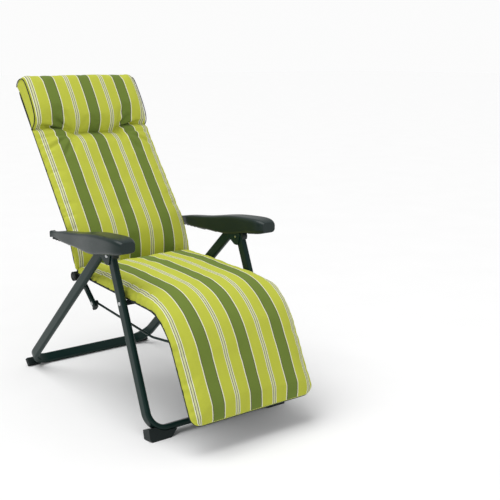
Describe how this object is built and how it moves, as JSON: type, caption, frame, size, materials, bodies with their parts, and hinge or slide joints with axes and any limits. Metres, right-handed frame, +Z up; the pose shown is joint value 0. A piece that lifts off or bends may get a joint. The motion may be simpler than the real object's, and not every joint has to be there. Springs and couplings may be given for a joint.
{
  "type": "reclining sun lounger",
  "caption": "Folding tube-frame sun lounger with a reclining back, linked footrest, lifting armrests and a striped one-piece cushion with a head pillow.",
  "frame": {"origin": "centre of the footprint on the floor", "axes": "+Z up, the sitter faces -Y, X across the seat; X = 0 is the symmetry plane"},
  "size_m": [0.653, 1.2014, 1.1441],
  "materials": {
    "frame_paint": "semi-gloss dark green",
    "armrest_plastic": "moulded dark green",
    "black_plastic": "moulded near-black",
    "zinc_steel": "zinc plated",
    "sling_fabric": "dark woven mesh",
    "cushion_fabric": "woven lime, green and cream stripes"
  },
  "bodies": {
    "seat": {"seat_frame": "frame_paint", "seat_sling": "sling_fabric", "seat_pad": "cushion_fabric", "seat_pivot_bolts": "zinc_steel", "seat_pivot_spacers": "black_plastic", "back_hinge_bolts": "zinc_steel", "back_hinge_bushes": "black_plastic", "back_hinge_knobs": "black_plastic", "knee_bolts": "zinc_steel", "knee_bushes": "black_plastic"},
    "front_legs": {"front_leg_frame": "frame_paint", "front_foot_left": "black_plastic", "front_foot_right": "black_plastic", "front_leg_caps": "black_plastic", "ear_plates_left": "frame_paint", "ear_plates_right": "frame_paint", "rear_leg_pivots": "zinc_steel", "armrest_pivots": "zinc_steel"},
    "rear_legs": {"rear_leg_frame": "frame_paint", "rear_foot_left": "black_plastic", "rear_foot_right": "black_plastic"},
    "armrest_left_body": {"armrest_left": "armrest_plastic", "armrest_rack_left": "black_plastic"},
    "armrest_right_body": {"armrest_right": "armrest_plastic", "armrest_rack_right": "black_plastic"},
    "backrest": {"backrest_frame": "frame_paint", "back_sling": "sling_fabric", "back_pad": "cushion_fabric", "headrest_pillow": "cushion_fabric", "cushion_hood": "cushion_fabric", "back_lock_pins": "zinc_steel", "lever_caps": "black_plastic", "link_rear_pins": "zinc_steel"},
    "footrest": {"footrest_frame": "frame_paint", "footrest_sling": "sling_fabric", "legrest_pad": "cushion_fabric", "link_front_pins": "zinc_steel"},
    "links": {"link_rods": "frame_paint"}
  },
  "joints": [
    {"name": "back_recline", "type": "hinge", "parent": "seat", "child": "backrest", "pos_m": [0, 0.16197, 0.442], "axis": [-1, 0, 0], "range_deg": [-14, 22]},
    {"name": "footrest_raise", "type": "hinge", "parent": "seat", "child": "footrest", "pos_m": [0, -0.37803, 0.411], "axis": [-1, 0, 0], "range_deg": [-15.6, 24.4]},
    {"name": "link_swing", "type": "hinge", "parent": "backrest", "child": "links", "pos_m": [0, 0.06836, 0.35739], "axis": [1, 0, 0], "range_deg": [-14.6, 22.8]},
    {"name": "leg_fold", "type": "hinge", "parent": "seat", "child": "front_legs", "pos_m": [0, -0.21103, 0.424], "axis": [1, 0, 0], "range_deg": [0, 95]},
    {"name": "rear_leg_fold", "type": "hinge", "parent": "front_legs", "child": "rear_legs", "pos_m": [0, -0.09603, 0.588], "axis": [-1, 0, 0], "range_deg": [0, 66]},
    {"name": "armrest_lift_left", "type": "hinge", "parent": "front_legs", "child": "armrest_left_body", "pos_m": [0, -0.14103, 0.574], "axis": [1, 0, 0], "range_deg": [0, 38]},
    {"name": "armrest_lift_right", "type": "hinge", "parent": "front_legs", "child": "armrest_right_body", "pos_m": [0, -0.14103, 0.574], "axis": [1, 0, 0], "range_deg": [0, 38]}
  ],
  "couplings": [
    {"joint": "footrest_raise", "follows": "back_recline", "ratio": 1.1},
    {"joint": "link_swing", "follows": "back_recline", "ratio": 1.02},
    {"joint": "rear_leg_fold", "follows": "leg_fold", "ratio": 0.69}
  ]
}
